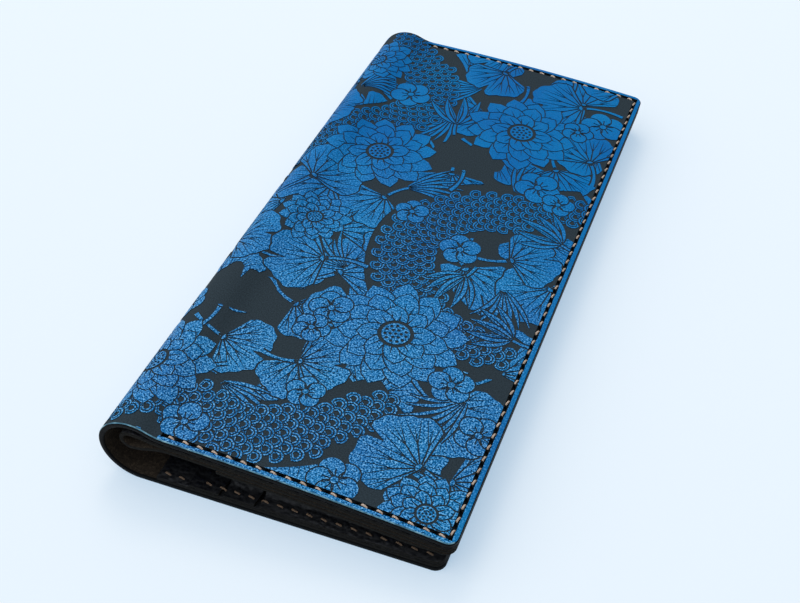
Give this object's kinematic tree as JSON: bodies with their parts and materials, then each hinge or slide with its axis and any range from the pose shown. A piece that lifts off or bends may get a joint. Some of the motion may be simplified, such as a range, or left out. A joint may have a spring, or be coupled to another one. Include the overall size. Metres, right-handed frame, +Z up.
{
  "type": "clutch wallet",
  "caption": "Long bifold clutch wallet in tooled leather, saddle stitched, with a zipped pouch, a slip pocket, a note pocket and card pockets.",
  "frame": {"origin": "on the table under the middle of the shut wallet's box", "axes": "+X from the bent spine to the open edge, +Y along the spine, +Z up from the rear cover to the front cover"},
  "size_m": [0.097, 0.2, 0.021],
  "materials": {
    "cover_leather": "blue dyed full-grain leather, engraved and burnished",
    "lining_leather": "black pebbled leather with a soft sheen",
    "waxed_thread": "waxed linen thread",
    "zip_tape": "woven black tape",
    "zip_metal": "satin brass"
  },
  "bodies": {
    "rear_half": {"rear_cover": "cover_leather", "note_panel": "lining_leather", "card_pocket_near_1": "lining_leather", "card_pocket_near_2": "lining_leather", "card_pocket_near_3": "lining_leather", "card_pocket_far_1": "lining_leather", "card_pocket_far_2": "lining_leather", "card_pocket_far_3": "lining_leather", "rear_thread_outside": "waxed_thread", "rear_thread_inside": "waxed_thread", "divider_thread_near": "waxed_thread", "divider_thread_far": "waxed_thread"},
    "spine_strip": {"spine": "cover_leather"},
    "front_half": {"front_cover": "cover_leather", "zip_pouch": "lining_leather", "slip_panel": "lining_leather", "front_thread_outside": "waxed_thread", "front_thread_inside": "waxed_thread", "zip_thread": "waxed_thread", "zip_tape_spine_side": "zip_tape", "zip_tape_open_side": "zip_tape", "zip_teeth_spine_side": "zip_metal", "zip_teeth_open_side": "zip_metal", "zip_bottom_stop": "zip_metal", "zip_top_stop_spine_side": "zip_metal", "zip_top_stop_open_side": "zip_metal"},
    "slider": {"zip_slider": "zip_metal"},
    "pull": {"zip_pull": "zip_metal"}
  },
  "joints": [
    {"name": "rear_fold", "type": "hinge", "parent": "rear_half", "child": "spine_strip", "pos_m": [-0.0477, 0, 0.00496], "axis": [0, -1, 0], "range_deg": [0, 90]},
    {"name": "front_fold", "type": "hinge", "parent": "spine_strip", "child": "front_half", "pos_m": [-0.0477, 0, 0.01604], "axis": [0, -1, 0], "range_deg": [0, 90]},
    {"name": "zip_slide", "type": "slide", "parent": "front_half", "child": "slider", "axis": [0, -1, 0], "range_m": [0, 0.146]},
    {"name": "pull_swing", "type": "hinge", "parent": "slider", "child": "pull", "pos_m": [-0.02279, 0.073, 0.00995], "axis": [0.9991, 0, -0.0422], "range_deg": [0, 14]}
  ],
  "couplings": [
    {"joint": "front_fold", "follows": "rear_fold", "ratio": 1}
  ]
}
